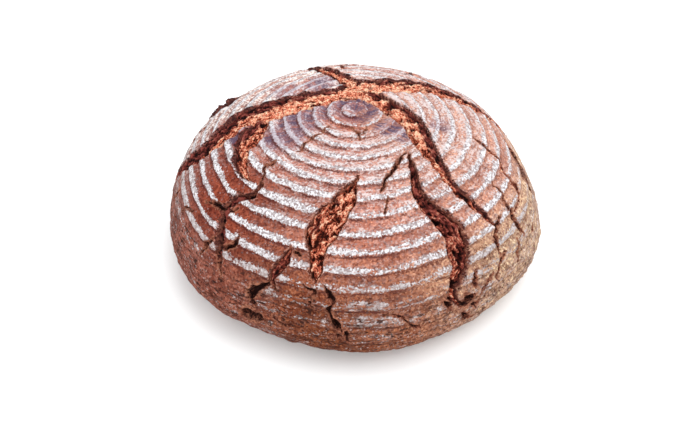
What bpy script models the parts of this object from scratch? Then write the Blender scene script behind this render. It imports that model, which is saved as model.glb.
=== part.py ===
"""Round rye loaf, proofed in a coiled-cane basket and split open by its rise in the oven.

Run it with: blender --background --python part.py
Metres, +Z up. The loaf rests on z = 0, its box is centred on the origin, and its front faces -Y.

A place on the crust is written (bearing, reach). The bearing is in degrees, from the front towards +X.
The reach is in millimetres, measured over the crust from the top of the dome.
"""

import math

import bmesh
import bpy
import numpy as np
from mathutils import Vector

MM = 0.001

# Driving dimensions, in metres.
DIAMETER = 220 * MM
WAIST_HEIGHT = 23 * MM          # height of the widest level; the lower edge is a quarter circle below it
DOME_HEIGHT = 61 * MM           # from the widest level to the top
SHOULDER_POWER = 3.5            # how square the dome's shoulder is, seen from the side
CROWN_POWER = 1.4               # how soon the dome falls away from its flat crown

# The basket's coils leave ridges: closer on the crown than on the flanks.
CROWN_PITCH = 8.2 * MM
FLANK_PITCH = 9.4 * MM
CROWN_RINGS = 7                 # the ring where the crown's pitch gives way to the flank's
CROWN_REACH = 55 * MM           # that ring's reach
LAST_RING = 16.5
RIDGE_RISE = 0.7 * MM           # above the mean surface, and as much below it between two ridges
RIDGE_FADE = (105 * MM, 140 * MM)
RING_DRIFT = 8 * MM             # the innermost coil's centre lies this far behind the top
DRIFT_REACH = 60 * MM           # and the coils are centred again from here on

# Gentle lobes of the outline: waves around the loaf, height in metres, bearing of a crest in degrees.
LOBES = ((1, 0.9 * MM, -100), (2, 0.8 * MM, 62), (6, 1.1 * MM, 7))

COLUMNS = 96                    # facets around the loaf
FOOT_ROWS = 6                   # rows of facets from the last ring to the base

# Splits: depth in millimetres, then (bearing, reach, width in millimetres) along each one.
SPLITS = {
    "west": (7, ((178, 22, 7), (-165, 23, 9), (-134, 29, 10), (-115, 38, 10), (-104, 50, 9),
                 (-96, 61, 9), (-87, 71, 10), (-85, 84, 9), (-89, 98, 8), (-93, 114, 6), (-94, 128, 1))),
    "north": (4, ((166, 28, 6), (-177, 37, 5), (-163, 50, 5), (-157, 70, 5), (-155, 92, 4), (-158, 112, 1))),
    "east": (6, ((175, 30, 8), (150, 37, 9), (138, 46, 9), (129, 55, 8), (122, 66, 8), (119, 80, 7),
                 (121, 97, 5), (125, 118, 1))),
    "south_east": (8, ((172, 26, 7), (136, 20, 8), (98, 26, 10), (72, 34, 13), (58, 45, 13), (50, 56, 9),
                       (46, 68, 7), (46, 80, 6), (46, 92, 6), (49, 104, 4), (51, 114, 1))),
    "south": (8, ((3, 48, 2), (-1, 60, 6), (-6, 71, 9), (-10, 81, 12), (-12, 91, 12), (-12, 101, 8),
                  (-10, 112, 5), (-8, 122, 2))),
    "south_south_east": (7, ((42, 42, 2), (35, 53, 4), (30, 66, 5), (30, 78, 6), (32, 89, 9), (34, 100, 10),
                             (33, 112, 9), (30, 121, 6), (28, 130, 3))),
    "south_west": (4, ((-46, 56, 1), (-48, 67, 4), (-46, 76, 4), (-50, 86, 6), (-50, 96, 5), (-47, 106, 6),
                       (-43, 117, 4), (-42, 127, 1))),
    "front_left": (5, ((-21, 91, 1), (-22, 100, 5), (-24, 110, 5), (-25, 119, 4), (-30, 128, 4),
                       (-29, 136, 1))),
    "south_east_hairline": (3, ((84, 64, 1), (79, 76, 3), (75, 88, 3), (71, 101, 4), (68, 112, 3),
                                (67, 120, 1))),
}
CUTTER_RISE = 4 * MM            # how far a cutter stands above the crust
SHALLOW_END = 0.25              # the share of its depth that a split keeps where its width runs out

CRUST_COLOUR = (0.45, 0.22, 0.16, 1.0)
CRUST_ROUGHNESS = 0.85
SHARP_ANGLE = math.radians(35)  # the edges of the splits stay sharp, the ridges smooth

OUTLINE_STEPS = 1500            # along each quarter of the side outline
NORMAL_STEP = 0.5 * MM          # between the two points that give the crust's slope


def side_outline():
    """The loaf's side seen from the front, top to base: reach, radius and height at closely spaced points."""
    turn = np.linspace(0, math.pi / 2, OUTLINE_STEPS)
    radius = DIAMETER / 2
    dome_r = radius * np.sin(turn) ** (2 / SHOULDER_POWER)
    dome_z = WAIST_HEIGHT + DOME_HEIGHT * np.cos(turn) ** (2 / CROWN_POWER)
    foot_r = radius - WAIST_HEIGHT * (1 - np.cos(turn))
    foot_z = WAIST_HEIGHT * (1 - np.sin(turn))
    r = np.concatenate([dome_r, foot_r[1:]])
    z = np.concatenate([dome_z, foot_z[1:]])
    reach = np.concatenate([[0], np.cumsum(np.hypot(np.diff(r), np.diff(z)))])
    return reach, r, z


REACH, RADIUS, HEIGHT = side_outline()
FULL_REACH = REACH[-1]


def lobe(bearing):
    """How far the outline swells at a bearing in radians, in metres."""
    return sum(rise * math.cos(waves * (bearing - math.radians(crest))) for waves, rise, crest in LOBES)


def on_crust(bearing, reach, lift=0.0):
    """The point at a bearing in radians and a reach in metres, raised by lift along the crust's normal."""
    r = np.interp(reach, REACH, RADIUS)
    z = np.interp(reach, REACH, HEIGHT)
    back, ahead = reach - NORMAL_STEP, reach + NORMAL_STEP
    along_r = np.interp(ahead, REACH, RADIUS) - np.interp(back, REACH, RADIUS)
    along_z = np.interp(ahead, REACH, HEIGHT) - np.interp(back, REACH, HEIGHT)
    length = math.hypot(along_r, along_z)
    swell = lobe(bearing) * (r / (DIAMETER / 2)) ** 2
    out = r + swell - lift * along_z / length
    return Vector((out * math.sin(bearing), -out * math.cos(bearing), z + lift * along_r / length))


def ring_reach(ring):
    """The reach of a ring, counted from the innermost coil."""
    pitch = CROWN_PITCH if ring < CROWN_RINGS else FLANK_PITCH
    return CROWN_REACH + pitch * (ring - CROWN_RINGS)


def ridge(ring, reach):
    """Height of the ridged surface: a crest on each whole ring, a hollow halfway to the next one."""
    fade = 1 - np.interp(reach, RIDGE_FADE, (0, 1))
    return RIDGE_RISE * math.cos(2 * math.pi * ring) * fade


def loaf_mesh():
    """The ridged dome: rings spun as a flat disc, which is then laid over the loaf's form."""
    rings = [0.5 * k for k in range(2, int(2 * LAST_RING) + 1)]
    rows = [(0.0, 0.0)] + [(ring_reach(ring), ridge(ring, ring_reach(ring))) for ring in rings]
    last = rows[-1][0]
    rows += [(last + (FULL_REACH - last) * k / FOOT_ROWS, 0.0) for k in range(1, FOOT_ROWS + 1)]
    lift_at = [row[0] for row in rows], [row[1] for row in rows]

    bm = bmesh.new()
    spoke = [bm.verts.new((0, -reach, 0)) for reach, _ in rows]
    edges = [bm.edges.new(pair) for pair in zip(spoke, spoke[1:])]
    bmesh.ops.spin(bm, geom=spoke + edges, cent=(0, 0, 0), axis=(0, 0, 1), angle=2 * math.pi, steps=COLUMNS)
    bmesh.ops.remove_doubles(bm, verts=bm.verts, dist=1e-6)
    bmesh.ops.holes_fill(bm, edges=[e for e in bm.edges if e.is_boundary], sides=COLUMNS + 1)

    for vert in bm.verts:
        ring_radius = vert.co.length
        drift = RING_DRIFT * max(0.0, 1 - ring_radius / DRIFT_REACH) ** 2
        flat = vert.co + Vector((0, drift, 0))
        bearing = math.atan2(flat.x, -flat.y)
        lift = float(np.interp(ring_radius, *lift_at))
        vert.co = on_crust(bearing, min(flat.length, FULL_REACH), lift)
    bmesh.ops.recalc_face_normals(bm, faces=bm.faces)
    mesh = bpy.data.meshes.new("loaf")
    bm.to_mesh(mesh)
    bm.free()
    return mesh


def split_cutter(name, depth, route):
    """A wedge that follows a split: its three long edges are the two lips and the bottom."""
    middle = [on_crust(math.radians(bearing), reach * MM) for bearing, reach, _ in route]
    bm = bmesh.new()
    sections = []
    for k, (bearing, reach, width) in enumerate(route):
        here = on_crust(math.radians(bearing), reach * MM)
        normal = (on_crust(math.radians(bearing), reach * MM, MM) - here).normalized()
        along = middle[min(k + 1, len(route) - 1)] - middle[max(k - 1, 0)]
        side = normal.cross(along).normalized()
        sunk = depth * MM * min(1.0, SHALLOW_END + width / depth)
        spread = width * MM / 2 * (1 + CUTTER_RISE / sunk)
        corners = (here + normal * CUTTER_RISE + side * spread,
                   here + normal * CUTTER_RISE - side * spread,
                   here - normal * sunk)
        sections.append([bm.verts.new(corner) for corner in corners])
    for first, second in zip(sections, sections[1:]):
        for a in range(3):
            b = (a + 1) % 3
            bm.faces.new((first[a], first[b], second[b], second[a]))
    bm.faces.new(sections[0])
    bm.faces.new(sections[-1])
    bmesh.ops.triangulate(bm, faces=bm.faces)
    bmesh.ops.recalc_face_normals(bm, faces=bm.faces)
    mesh = bpy.data.meshes.new("cut_" + name)
    bm.to_mesh(mesh)
    bm.free()
    cutter = bpy.data.objects.new("cut_" + name, mesh)
    bpy.context.scene.collection.objects.link(cutter)
    cutter.hide_render = True
    cutter.display_type = "WIRE"
    return cutter


def crust_material():
    material = bpy.data.materials.new("crust")
    material.use_nodes = True
    shader = material.node_tree.nodes["Principled BSDF"]
    shader.inputs["Base Color"].default_value = CRUST_COLOUR
    shader.inputs["Roughness"].default_value = CRUST_ROUGHNESS
    shader.inputs["Metallic"].default_value = 0.0
    return material


def centred(mesh):
    """How far to move the loaf so that its box is centred on the origin."""
    xs = [v.co.x for v in mesh.vertices]
    ys = [v.co.y for v in mesh.vertices]
    return Vector((-(min(xs) + max(xs)) / 2, -(min(ys) + max(ys)) / 2, 0))


def build_loaf():
    mesh = loaf_mesh()
    mesh.materials.append(crust_material())
    loaf = bpy.data.objects.new("loaf", mesh)
    bpy.context.scene.collection.objects.link(loaf)
    loaf.location = centred(mesh)
    for name, (depth, route) in SPLITS.items():
        cutter = split_cutter(name, depth, route)
        cutter.location = loaf.location
        cut = loaf.modifiers.new("split_" + name, "BOOLEAN")
        cut.operation = "DIFFERENCE"
        cut.solver = "EXACT"
        cut.object = cutter
    mesh.shade_smooth()
    mesh.set_sharp_from_angle(angle=SHARP_ANGLE)
    return loaf


for old in list(bpy.data.objects):
    bpy.data.objects.remove(old, do_unlink=True)
build_loaf()
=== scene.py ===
"""Rye bread loaf: the looks of a round hearth loaf, ridged and floured by its proofing basket and
torn open by its rise in the oven.

Two pieces stand for the loaf's solid. The crust is a closed skin with the basket's ridges, raised
torn lips and furrows. The crumb is the loaf's inside, which shows where the crust has torn.

A place on the crust is written (bearing, reach). The bearing is in degrees, from the front (-Y)
towards +X. The reach is in millimetres, measured over the crust from the top of the dome.
"""

import math
from collections import namedtuple

import bpy
import numpy as np
from bpy.props import FloatProperty, FloatVectorProperty, IntProperty, PointerProperty
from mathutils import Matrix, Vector, noise


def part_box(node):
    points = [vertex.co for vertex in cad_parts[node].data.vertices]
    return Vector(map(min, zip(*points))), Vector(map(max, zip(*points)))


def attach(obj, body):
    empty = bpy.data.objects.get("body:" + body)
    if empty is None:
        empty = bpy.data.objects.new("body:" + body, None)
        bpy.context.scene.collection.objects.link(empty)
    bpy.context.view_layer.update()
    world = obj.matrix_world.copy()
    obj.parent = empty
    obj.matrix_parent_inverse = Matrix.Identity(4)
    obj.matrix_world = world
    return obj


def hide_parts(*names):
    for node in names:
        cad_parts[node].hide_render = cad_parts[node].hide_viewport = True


bl_info = {
    "name": "Rye bread loaf",
    "version": (1, 0, 0),
    "blender": (4, 5, 0),
    "location": "View3D > Sidebar > Rye Loaf",
    "description": "Builds a floured, torn rye loaf round its solid",
    "category": "Add Mesh",
}

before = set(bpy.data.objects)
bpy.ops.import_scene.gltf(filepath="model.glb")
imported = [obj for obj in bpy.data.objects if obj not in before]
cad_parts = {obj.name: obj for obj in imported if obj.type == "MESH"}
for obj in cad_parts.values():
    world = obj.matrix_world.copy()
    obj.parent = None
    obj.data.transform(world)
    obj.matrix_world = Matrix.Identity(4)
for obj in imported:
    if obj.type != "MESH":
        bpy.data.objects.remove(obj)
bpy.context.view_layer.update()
LOAF_LOW, LOAF_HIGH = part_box("loaf")

MM = 0.001
MOST_TRIANGLES = 200_000        # in one piece
RIDGE_RISE = 0.7 * MM           # the solid's ridges stand this far above its mean surface
OUTLINE_STEPS = 1500            # points along the dome's outline, and along the foot's
BATCH = 4000                    # points that are compared with a tear's route at a time

# The crumb's cage: squares along each side, and how often the squares in the tears are cut in four.
CRUMB_SQUARES = 42
CRUMB_CUTS = 3

# The crust's squares are cut finer along torn edges, and once more along narrow tears: distances
# from the edge, from inside a tear to outside it, and the half width of a narrow tear.
TORN_EDGE = (-2, 1.2)
NARROW_EDGE = (-0.6, 0.35)
NARROW = 2.2

# The discs that a ball is unwrapped to: (middle, radius) on the map.
DOME_DISC = (0.445, 0.44)
BASE_DISC = (0.85, 0.145)

# Millimetres over the crust.
NORMAL_STEP = 0.8               # how far to each side the slope is taken
ROUTE_STEP = 0.6                # between two points of a tear's route
TEAR_MARGIN = 22                # how far from its route a tear is felt
FAR = 99.0                      # a distance for places that no tear is near
LIP_SPREAD = 3.5
SCORCH_SPREAD = 0.8
GIRTH = 110                     # the radius at which streaks round the loaf are measured

# The flanks that are coloured on their own: (bearing, spread) in degrees.
LEFT_FLANK = (-75, 75)
RIGHT_FLANK = (85, 95)

# The innermost coil lies behind the top, and the coils are centred again further out, in
# millimetres.
RING_DRIFT = 8.0
DRIFT_REACH = 60.0
CROWN_RINGS = 7                 # the ring where the crown's pitch gives way to the flank's
CROWN_REACH = 55.0

# Gentle lobes of the outline: waves around the loaf, height in millimetres, bearing of a crest.
LOBES = ((1, 0.9, -100), (2, 0.8, 62), (6, 1.1, 7))

# A tear in the crust, walked outwards from the crown. Lips and scorch are (left, right): how far
# each torn edge curls up in millimetres, and how dark it is burnt. Floor is the crumb's depth at
# the left edge, the middle and the right edge. Fresh is how pale the crumb is near the start, the
# middle and the end (the stages along the route), char is the share of the width that is burnt
# there, and pits is how holed the crumb is. The route's points are (bearing, reach, width).
STAGES = (0, 0.45, 0.85)
Tear = namedtuple("Tear", "name lips scorch floor fresh char pits route")

# What the tears at the back share, from their floor to their pits.
BACK_CRUMB = ((1.8, 1.4, 1.8), (0.4, 0.3, 0.2), (0.3, 0.45, 0.5), 0.8)

TEARS = (
    Tear("west", (0.2, 0.3), (0.1, 1.0), (0.5, 0.0, 0.1), (1.1, 0.9, 0.2), (0.08, 0.5, 1.15), 0.3,
         ((-175, 24, 17), (-160, 23, 14), (-136, 26, 15), (-117, 34, 18), (-106, 42, 20),
          (-100, 51, 20), (-98, 61, 19), (-93, 70, 18), (-88, 80, 16), (-86, 90, 14), (-87, 99, 12),
          (-89, 108, 10), (-91, 118, 7), (-94, 128, 5), (-96, 137, 1))),
    Tear("island", (0.0, 0.0), (0.0, 1.0), (0.1, 0.2, 1.6), (0.45, 0.45, 0.5), (0.7, 0.3, 0.1), 0.4,
         ((-87, 53, 9), (-80, 58, 15), (-75, 62, 15), (-70, 66, 10), (-64, 69, 8), (-57, 71, 5),
          (-50, 72, 1))),
    Tear("north", (0.4, 0.5), (0.9, 0.9), (0.3, 0.2, 0.3), (0.8, 0.5, 0.3), (0.12, 0.4, 0.6), 0.2,
         ((176, 30, 13), (-172, 39, 10), (-166, 49, 9), (-161, 61, 8), (-158, 76, 6), (-157, 96, 4),
          (-159, 114, 1))),
    Tear("north_west", (0.2, 2.8), (0.9, 1.0), (1.8, 1.2, 0.2), (0.3, 0.2, 0.1), (0.5, 0.8, 0.9),
         0.3,
         ((-122, 82, 1), (-119, 89, 5), (-117, 96, 7), (-116, 103, 6), (-116, 110, 1))),
    Tear("east", (0.2, 0.2), (0.9, 0.05), (0.2, 0.0, 0.4), (1.1, 0.75, 0.3), (0.2, 0.37, 0.5), 0.25,
         ((176, 31, 16), (151, 38, 17), (138, 47, 16), (130, 56, 14), (123, 62, 13), (117, 69, 11),
          (112, 77, 9), (109, 88, 6), (108, 102, 4), (109, 116, 1))),
    Tear("south_east", (0.1, 0.15), (0.8, 0.2), (0.5, 0.4, 1.0), (1, 0.9, 0.2), (0.35, 0.4, 0.5),
         0.45,
         ((172, 25, 12), (135, 21, 13), (100, 25, 13), (80, 32, 13), (62, 40, 13), (52, 51, 9.5),
          (48, 62, 6.5), (46, 72, 5), (46.5, 81, 5), (48, 89, 4.5), (49.5, 96, 3), (51, 104, 1))),
    Tear("south", (0.4, 0.4), (0.1, 0.3), (1.2, 0.8, 2.2), (0.6, 0.45, 0.3), (0.3, 0.4, 0.45), 0.85,
         ((2, 50, 1), (-2, 58, 6), (-5, 66, 11), (-9, 75, 15), (-12, 83, 16.5), (-12.5, 89, 14.5),
          (-12, 94, 9), (-12, 99, 6.5), (-12, 104, 6), (-11.5, 109, 1))),
    Tear("south_south_east", (0.4, 0.3), (0.6, 0.5), (1.8, 1.2, 1.6), (0, 0, 0.1), (0.6, 0.6, 0.4),
         1.0,
         ((42, 42, 1), (36, 50, 3), (31, 61, 5), (29, 68, 6), (30, 77, 8.5), (33, 86, 11),
          (35, 94, 12), (34, 102, 13), (33, 109, 11), (31, 115, 8), (29, 119, 6), (28.5, 124, 5),
          (29, 129, 3), (30, 133, 1))),
    Tear("south_west", (0.3, 0.3), (0.7, 0.7), (1.8, 1.6, 1.8), (0.1, 0.1, 0.0), (0.7, 0.8, 0.8),
         1.0,
         ((-44, 70, 2), (-44, 77, 3), (-49, 84, 5), (-50, 92, 6), (-48, 99, 5), (-46, 106, 6),
          (-44, 112, 3), (-42, 120, 1))),
    Tear("front_left", (0.3, 0.3), (0.5, 0.5), (2.2, 1.6, 2.2), (0.3, 0.2, 0.1), (0.4, 0.55, 0.6),
         0.9,
         ((-21, 94, 1), (-22, 101, 5), (-24, 108, 5), (-25, 114, 3), (-23, 119, 1))),
    Tear("far_east", (0.1, 0.1), (0.0, 0.0), (1.0, 1.0, 1.0), (0.9, 0.75, 0.6), (0.2, 0.25, 0.3),
         0.3,
         ((82, 66, 1), (78, 75, 2), (77, 84, 2), (72, 90, 2.5), (72, 98, 3), (69, 104, 2),
          (62, 106, 1))),
    Tear("back_right", (0.5, 0.5), (0.4, 0.4), *BACK_CRUMB,
         ((150, 62, 1), (149, 72, 4), (145, 83, 7), (143, 92, 9), (139, 101, 7), (138, 111, 5),
          (134, 122, 3), (133, 131, 1))),
    Tear("back", (0.5, 0.5), (0.4, 0.4), *BACK_CRUMB,
         ((-172, 58, 1), (-174, 70, 4), (-179, 80, 8), (177, 90, 10), (175, 98, 7), (176, 108, 5),
          (173, 116, 6), (172, 126, 2), (171, 132, 1))),
    Tear("back_left", (0.4, 0.4), (0.3, 0.3), *BACK_CRUMB,
         ((-139, 78, 1), (-141, 88, 3), (-145, 96, 5), (-147, 104, 7), (-146, 112, 4),
          (-149, 120, 2), (-150, 127, 1))),
)

# Fine cracks and small holes, without lips: (bearing, reach, width) at each point.
CRACKS = (
    ((39, 42, 1), (28, 47, 2.2), (20, 52, 2.8), (14, 58, 1.6), (12, 62, 1)),
    ((15, 66, 1), (12, 73, 1)),
    ((-45, 43, 0.8), (-48, 33, 1), (-49, 26, 0.8), (-54, 17, 0.6)),
    ((-8, 12, 0.6), (5, 18, 1), (7, 23, 0.8)),
    ((29, 13, 0.6), (11, 18, 0.8)),
    ((-49, 55, 0.8), (-50, 61, 1.5), (-46, 65, 1), (-45, 70, 2)),
    ((-61, 97, 1), (-58, 95, 2.5), (-54, 93, 3), (-50, 92, 2)),
    ((-40, 99, 1), (-40, 103, 3), (-43, 108, 3)),
    ((-48, 107, 1.5), (-50, 112, 3), (-51, 119, 1)),
    ((-46, 88, 1), (-49, 96, 2), (-46, 104, 2), (-45, 110, 2.5), (-43, 117, 2), (-41, 123, 1)),
    ((-70, 116, 1), (-68, 111, 1.5), (-64, 108, 1)),
    ((-25.5, 116, 1.5), (-27.5, 119, 4), (-29.5, 122.5, 5), (-30, 127, 4.5), (-28.5, 130, 1.5)),
    ((-33.5, 138.5, 1), (-31.5, 137.5, 6), (-29, 137.5, 7.5), (-27, 137, 4.5), (-25, 138, 1)),
    ((-9, 110.5, 1), (-8, 113, 2.8), (-6.8, 116, 3.4), (-6.4, 119, 1.6), (-7, 122, 3.6),
     (-6.5, 126, 2.6), (-5, 130, 4.8), (-3.5, 134, 1.5)),
    ((-13, 103, 2), (-12, 106, 4.5), (-11.5, 108, 2)),
    ((-14.5, 112, 1.5), (-12, 114, 2.5), (-12, 117, 2)),
    ((-13, 120, 2.2), (-12, 124, 1.2)),
    ((28, 119, 2), (27.5, 123, 5), (28, 127, 3)),
    ((29, 129, 1), (31.5, 131, 5), (33.5, 130.5, 6.5), (35.5, 128.5, 1.5)),
    ((34, 135, 1), (35.5, 135.5, 4), (37, 134.5, 1)),
    ((25.5, 125, 1), (26.5, 128, 3.5), (27, 131, 1)),
    ((31, 137, 1.5), (32, 140.5, 4), (34, 143, 2)),
    ((43, 124, 1), (40, 127, 2), (37, 131, 1)),
    ((-23, 134, 0.6), (-19, 138, 1.8), (-17.5, 141, 0.6)),
    ((-9, 136, 0.6), (-6, 137, 1.6), (-1, 139, 0.6)),
    ((-2, 134, 3), (-2, 140, 2)),
    ((-19, 97, 3), (-17, 98, 2)),
    ((9, 125, 1), (13, 127, 1.5), (15, 132, 1.5), (18, 135, 1)),
    ((61, 103, 1), (60, 109, 3), (61, 119, 1)),
    ((63, 86, 1), (62, 94, 1.5), (60, 102, 1.5)),
    ((55, 101, 1), (50, 105, 2.5), (48, 112, 3), (48, 118, 1)),
    ((50, 118, 1), (47, 122, 2), (44, 128, 1)),
    ((57, 118, 1), (56, 124, 1.5), (54, 128, 1)),
    ((37, 117, 1), (36.5, 121, 2.5), (36, 125, 1)),
    ((95, 93, 1), (90, 99, 5), (87, 104, 7), (84, 109, 7), (82, 114, 5), (81, 118, 1)),
    ((68, 123, 1.5), (67, 125, 1.5)),
    ((-105, 98, 1), (-103, 108, 3), (-107, 118, 2), (-104, 128, 1)),
    ((-82, 110, 1), (-80, 118, 2), (-83, 126, 1)),
    ((-150, 108, 1), (-147, 116, 3), (-150, 127, 2), (-148, 134, 1)),
    ((-170, 122, 1), (-165, 127, 2.5), (-160, 126, 1)),
    ((163, 90, 1), (161, 100, 2), (165, 110, 3), (162, 121, 1)),
    ((132, 106, 1), (129, 116, 2.5), (133, 126, 1)),
    ((120, 121, 1), (115, 127, 2), (110, 127, 1)),
)

# How much of each the crust has from the crown outwards: (reaches, amounts).
FLOUR_CURVE = ((0, 14, 40, 60, 90, 100, 110, 120, 150),
               (0.05, 0.2, 0.6, 0.68, 0.58, 0.42, 0.25, 0.06, 0))
BAND_CURVE = ((0, 30, 60, 90, 108, 125), (0.12, 0.2, 0.28, 0.3, 0.36, 0.5))
DUST_CURVE = ((0, 15, 25, 42, 55, 75, 95, 110, 160),
              (0.15, 0.7, 1.55, 1.5, 1.25, 0.6, 0.3, 0.08, 0))
BAKE_CURVE = ((0, 60, 90, 105, 125, 150), (0.0, 0.05, 0.25, 0.6, 0.9, 1.0))

# A coil's print about its crest: (places, counted in coils outwards, and heights from 0 to 1).
COIL_PRINT = ((-0.4, -0.25, -0.08, 0.06, 0.14, 0.22, 0.32, 0.45, 0.6),
              (0.6, 0.85, 1.0, 0.95, 0.7, 0.25, 0.0, 0.08, 0.6))

# Where the crust is greyed by the oven, with painted shade laid on the same way under the flap by
# the west tear, in the crease by the south-east tear and in the crown's hollows: (bearing, reach,
# radius, strength).
ASH_AND_SHADE = (
    (180, 7, 19, 1.0), (-100, 18, 12, 0.8), (-83, 63, 12, 1.0), (-85, 31, 18, 0.9),
    (-66, 42, 17, 0.7), (-150, 42, 14, 0.7), (-128, 52, 13, 0.6), (60, 21, 11, 0.9),
    (55, 33, 8, 0.6), (84, 48, 9, 0.4),
)

# Lesser tones of the finishes, beside those that the panel lists.
SCORCHED = ((0.012, 0.004, 0.004), (0.1, 0.018, 0.014), (0.28, 0.066, 0.052))   # darkest first
# A painted shadow along each crest's steep outer fall.
GROOVE_SHADE = (0.075, 0.014, 0.011)
# Dust and flour where the oven's grey and painted shade lie.
ASH_AND_SHADE_DUST = (0.47, 0.38, 0.45)
ASH_AND_SHADE_FLOUR = (0.40, 0.33, 0.39)
WORN_FLOUR = (0.36, 0.27, 0.25)
LOOSE_GRAIN = (0.37, 0.26, 0.23)
CHARRED_GRAIN = (0.035, 0.01, 0.007)
# Fine crazing cracks, and painted shade in the belly's creases.
CRAZE_AND_CREASE_SHADE = (0.07, 0.02, 0.011)
# Painted shade in small pocks.
POCK_SHADE = (0.045, 0.014, 0.009)
RIM = (0.60, 0.33, 0.25)
CRUMBLY = ((0.11, 0.03, 0.018), (0.36, 0.145, 0.085))           # crumbs beside a crack
WALL = ((0.07, 0.014, 0.009), (0.40, 0.13, 0.075))              # the crust's torn wall
# Painted shade at the foot of a tear's wall.
WALL_FOOT_SHADE = (0.03, 0.007, 0.005)
WALL_BURNT = (0.06, 0.02, 0.022)
# Painted shade deep in a crack, and paler loose crumbs higher up.
CRACK_SHADE_AND_CRUMBS = ((0.022, 0.006, 0.005), (0.14, 0.042, 0.026))

# What the tone under a mark is multiplied by.
MOTTLE = ((0.75, 0.6, 0.57), (1.3, 1.3, 1.3))
GLINT = (1.7, 2.2, 2.3)
FLECK = (0.45, 0.32, 0.3)
BELLY_LINE = (0.3, 0.24, 0.21)
CRUMB_FLECK = (0.45, 0.22, 0.2)
STALE = (0.7, 0.55, 0.5)

# The sizes of the grains that the finishes are speckled with, in millimetres.
CRUST_GRAIN = 0.9
CRUMB_GRAIN = 0.7

# The stage, in metres: the floor's side, the lamps' (place, size) and what they point at, and the
# camera, whose down and turn are in degrees, and its lens and film in millimetres.
FLOOR_SIDE = 6
KEY_LAMP = ((0.45, 0.25, 1.0), 1.6)
FILL_LAMP = ((-0.35, -1.0, 0.45), 1.0)
LAMPS_AIM = (0, 0, 0.04)
CAMERA_PLACE = (-0.0010, -0.3775, 0.3384)
CAMERA_DOWN = 40.645
CAMERA_TURN = 0.138
CAMERA_LENS = 41.8
CAMERA_FILM = 36


def amount(name, description, default, unit="NONE"):
    return FloatProperty(name=name, description=description, default=default, unit=unit)


def tint(name, description, rgb):
    return FloatVectorProperty(name=name, description=description, subtype="COLOR", size=3, min=0,
                               max=1, default=rgb)


class LoafForm(bpy.types.PropertyGroup):
    """The loaf's overall shape."""

    diameter: amount("Diameter", "Width of the loaf at its widest level",
                     round((LOAF_HIGH.x - LOAF_LOW.x + LOAF_HIGH.y - LOAF_LOW.y) / 2, 3), "LENGTH")
    height: amount("Height", "Height of the crown between two ridges",
                   round(LOAF_HIGH.z - LOAF_LOW.z - RIDGE_RISE, 4), "LENGTH")
    waist: amount("Waist height", "Height of the widest level; the lower edge is a quarter circle",
                  0.023, "LENGTH")
    shoulder: amount("Shoulder", "How square the dome's shoulder is", 3.5)
    crown: amount("Crown", "How soon the dome falls from its flat crown", 1.4)
    cage_cuts: IntProperty(name="Cage squares", default=49,
                           description="Squares along each side of the crust's cage")


class BasketRidges(bpy.types.PropertyGroup):
    """The prints and the flour that the basket's coils leave."""

    crown_pitch: amount("Crown pitch", "Distance between two ridges on the crown", 8.2 * MM,
                        "LENGTH")
    flank_pitch: amount("Flank pitch", "Distance between two ridges on the flanks", 9.4 * MM,
                        "LENGTH")
    rise: amount("Ridge height", "Height of a ridge above the hollow beside it", 1.5 * MM, "LENGTH")


class CrustColours(bpy.types.PropertyGroup):
    """The baked skin, its flour and its dust."""

    skin: tint("Skin", "Skin between the ridges on the crown", (0.355, 0.112, 0.07))
    tan: tint("Tan", "Paler skin on the right flank", (0.43, 0.27, 0.166))
    baked: tint("Baked", "Darker skin low on the loaf", (0.155, 0.041, 0.013))
    ruddy: tint("Ruddy", "Dark red skin on the left flank", (0.19, 0.036, 0.018))
    ruddy_belly: tint("Ruddy belly", "Dark red skin low on the left", (0.22, 0.068, 0.045))
    flour: tint("Flour", "Thick flour on the ridges", (0.72, 0.71, 0.74))
    thin_flour: tint("Thin flour", "Flour that the skin shows through", (0.30, 0.24, 0.24))
    dust: tint("Dust", "Dust between the ridges", (0.63, 0.53, 0.52))
    cream: tint("Cream", "Thick dust on the far left", (0.82, 0.74, 0.70))
    # The oven's grey, which also serves as painted shade under flaps, in creases and in the crown's
    # hollows.
    ash_and_shade: tint("Ash", "Skin that the oven has greyed", (0.085, 0.05, 0.088))


class CrumbColours(bpy.types.PropertyGroup):
    """The torn crumb, from its deepest holes to its highest strands, painted darker the deeper it
    lies as shade and paler the higher it stands as light.
    """

    hole: tint("Hole", "Bottoms of the holes", (0.04, 0.01, 0.007))
    dark: tint("Dark", "Deep crumb", (0.19, 0.032, 0.018))
    brown: tint("Brown", "Crumb of middle height", (0.57, 0.135, 0.074))
    orange: tint("Orange", "Raised crumb", (0.88, 0.285, 0.165))
    pale: tint("Pale", "Tips of the strands", (1.0, 0.7, 0.48))


class StudioStage(bpy.types.PropertyGroup):
    """The floor and the lights."""

    floor: tint("Floor", "Colour of the floor", (0.945, 0.96, 0.965))
    daylight: amount("Daylight", "Strength of the light from all round", 1.03)
    key: amount("Key light", "Power of the lamp above", 12.5, "POWER")
    fill: amount("Fill light", "Power of the lamp in front", 5.0, "POWER")


# --- The loaf's form ---


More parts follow.
